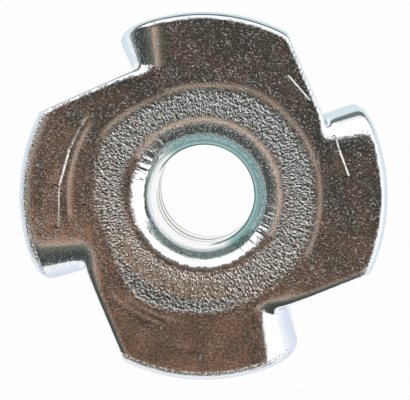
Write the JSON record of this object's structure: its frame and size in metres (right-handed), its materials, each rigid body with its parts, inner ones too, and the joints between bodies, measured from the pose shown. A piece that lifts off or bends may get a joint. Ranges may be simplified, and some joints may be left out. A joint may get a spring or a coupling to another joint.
{
  "type": "tee nut",
  "caption": "Drive-in tee nut: a round flange with prongs bent down at its rim and a threaded barrel, for a metric screw in wood or board.",
  "frame": {"origin": "middle of the barrel's open end, where the nut stands", "axes": "+Z along the thread from the barrel's end towards the flange; the four lobes of the flange point along +X, +Y, -X and -Y"},
  "size_m": [0.019, 0.019, 0.009],
  "materials": {
    "zinc_plate": "bright zinc-plated steel, satin on the faces and brighter on the rolled edges"
  },
  "bodies": {
    "root": {"tee_nut": "zinc_plate"}
  },
  "joints": []
}
